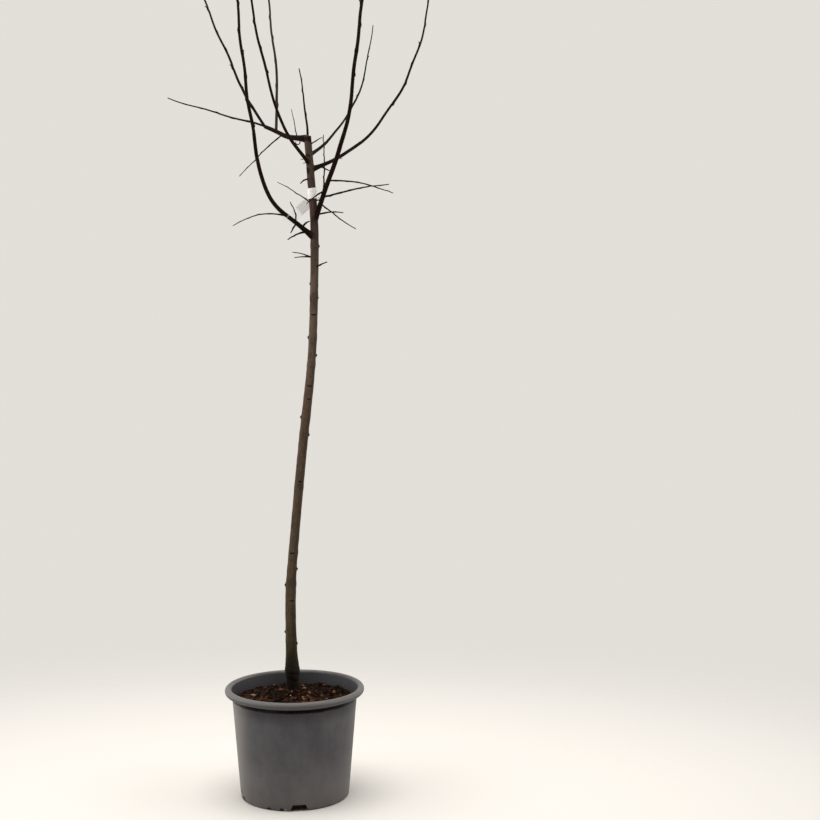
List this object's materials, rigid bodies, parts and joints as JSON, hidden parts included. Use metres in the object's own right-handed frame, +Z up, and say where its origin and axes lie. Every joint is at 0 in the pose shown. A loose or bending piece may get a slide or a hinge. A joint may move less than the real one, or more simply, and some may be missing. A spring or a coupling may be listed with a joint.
{
  "type": "potted quince tree",
  "caption": "Leafless young half-standard quince tree in a round grey nursery pot, with a slim leaning trunk and an open vase of long bare shoots.",
  "frame": {"origin": "centre of the pot's flat underside, on the ground", "axes": "+Z up along the tree, -Y the front, +X to the right seen from the front"},
  "size_m": [0.66, 0.4718, 2.3174],
  "materials": {
    "pot_grey": "matt moulded plastic, mottled",
    "soil_bark": "rough, moist bark compost",
    "trunk_bark": "smooth grey-brown bark",
    "bough_bark": "smooth dark brown bark",
    "twig_bark": "smooth red-brown bark with small buds",
    "label_white": "thin satin plastic strip"
  },
  "bodies": {
    "root": {"bough_left_low": "bough_bark", "bough_left_mid": "bough_bark", "bough_left_top": "bough_bark", "bough_right_low": "bough_bark", "bough_right_mid": "bough_bark", "bough_right_top": "bough_bark", "label": "label_white", "pot": "pot_grey", "shoots_leader": "twig_bark", "shoots_left_low": "twig_bark", "shoots_left_mid": "twig_bark", "shoots_left_top": "twig_bark", "shoots_left_upright": "twig_bark", "shoots_right_low": "twig_bark", "shoots_right_mid": "twig_bark", "shoots_right_top": "twig_bark", "soil": "soil_bark", "trunk": "trunk_bark", "twig_left_low_10": "twig_bark", "twig_left_low_11": "twig_bark", "twig_left_low_7": "twig_bark", "twig_left_low_8": "twig_bark", "twig_left_low_9": "twig_bark", "twig_left_top_18": "twig_bark", "twig_left_top_19": "twig_bark", "twig_right_low_12": "twig_bark", "twig_right_low_13": "twig_bark", "twig_right_low_14": "twig_bark", "twig_right_low_15": "twig_bark", "twig_right_low_16": "twig_bark", "twig_right_low_17": "twig_bark", "twig_trunk_1": "twig_bark", "twig_trunk_2": "twig_bark", "twig_trunk_3": "twig_bark", "twig_trunk_4": "twig_bark", "twig_trunk_5": "twig_bark", "twig_trunk_6": "twig_bark"}
  },
  "joints": []
}
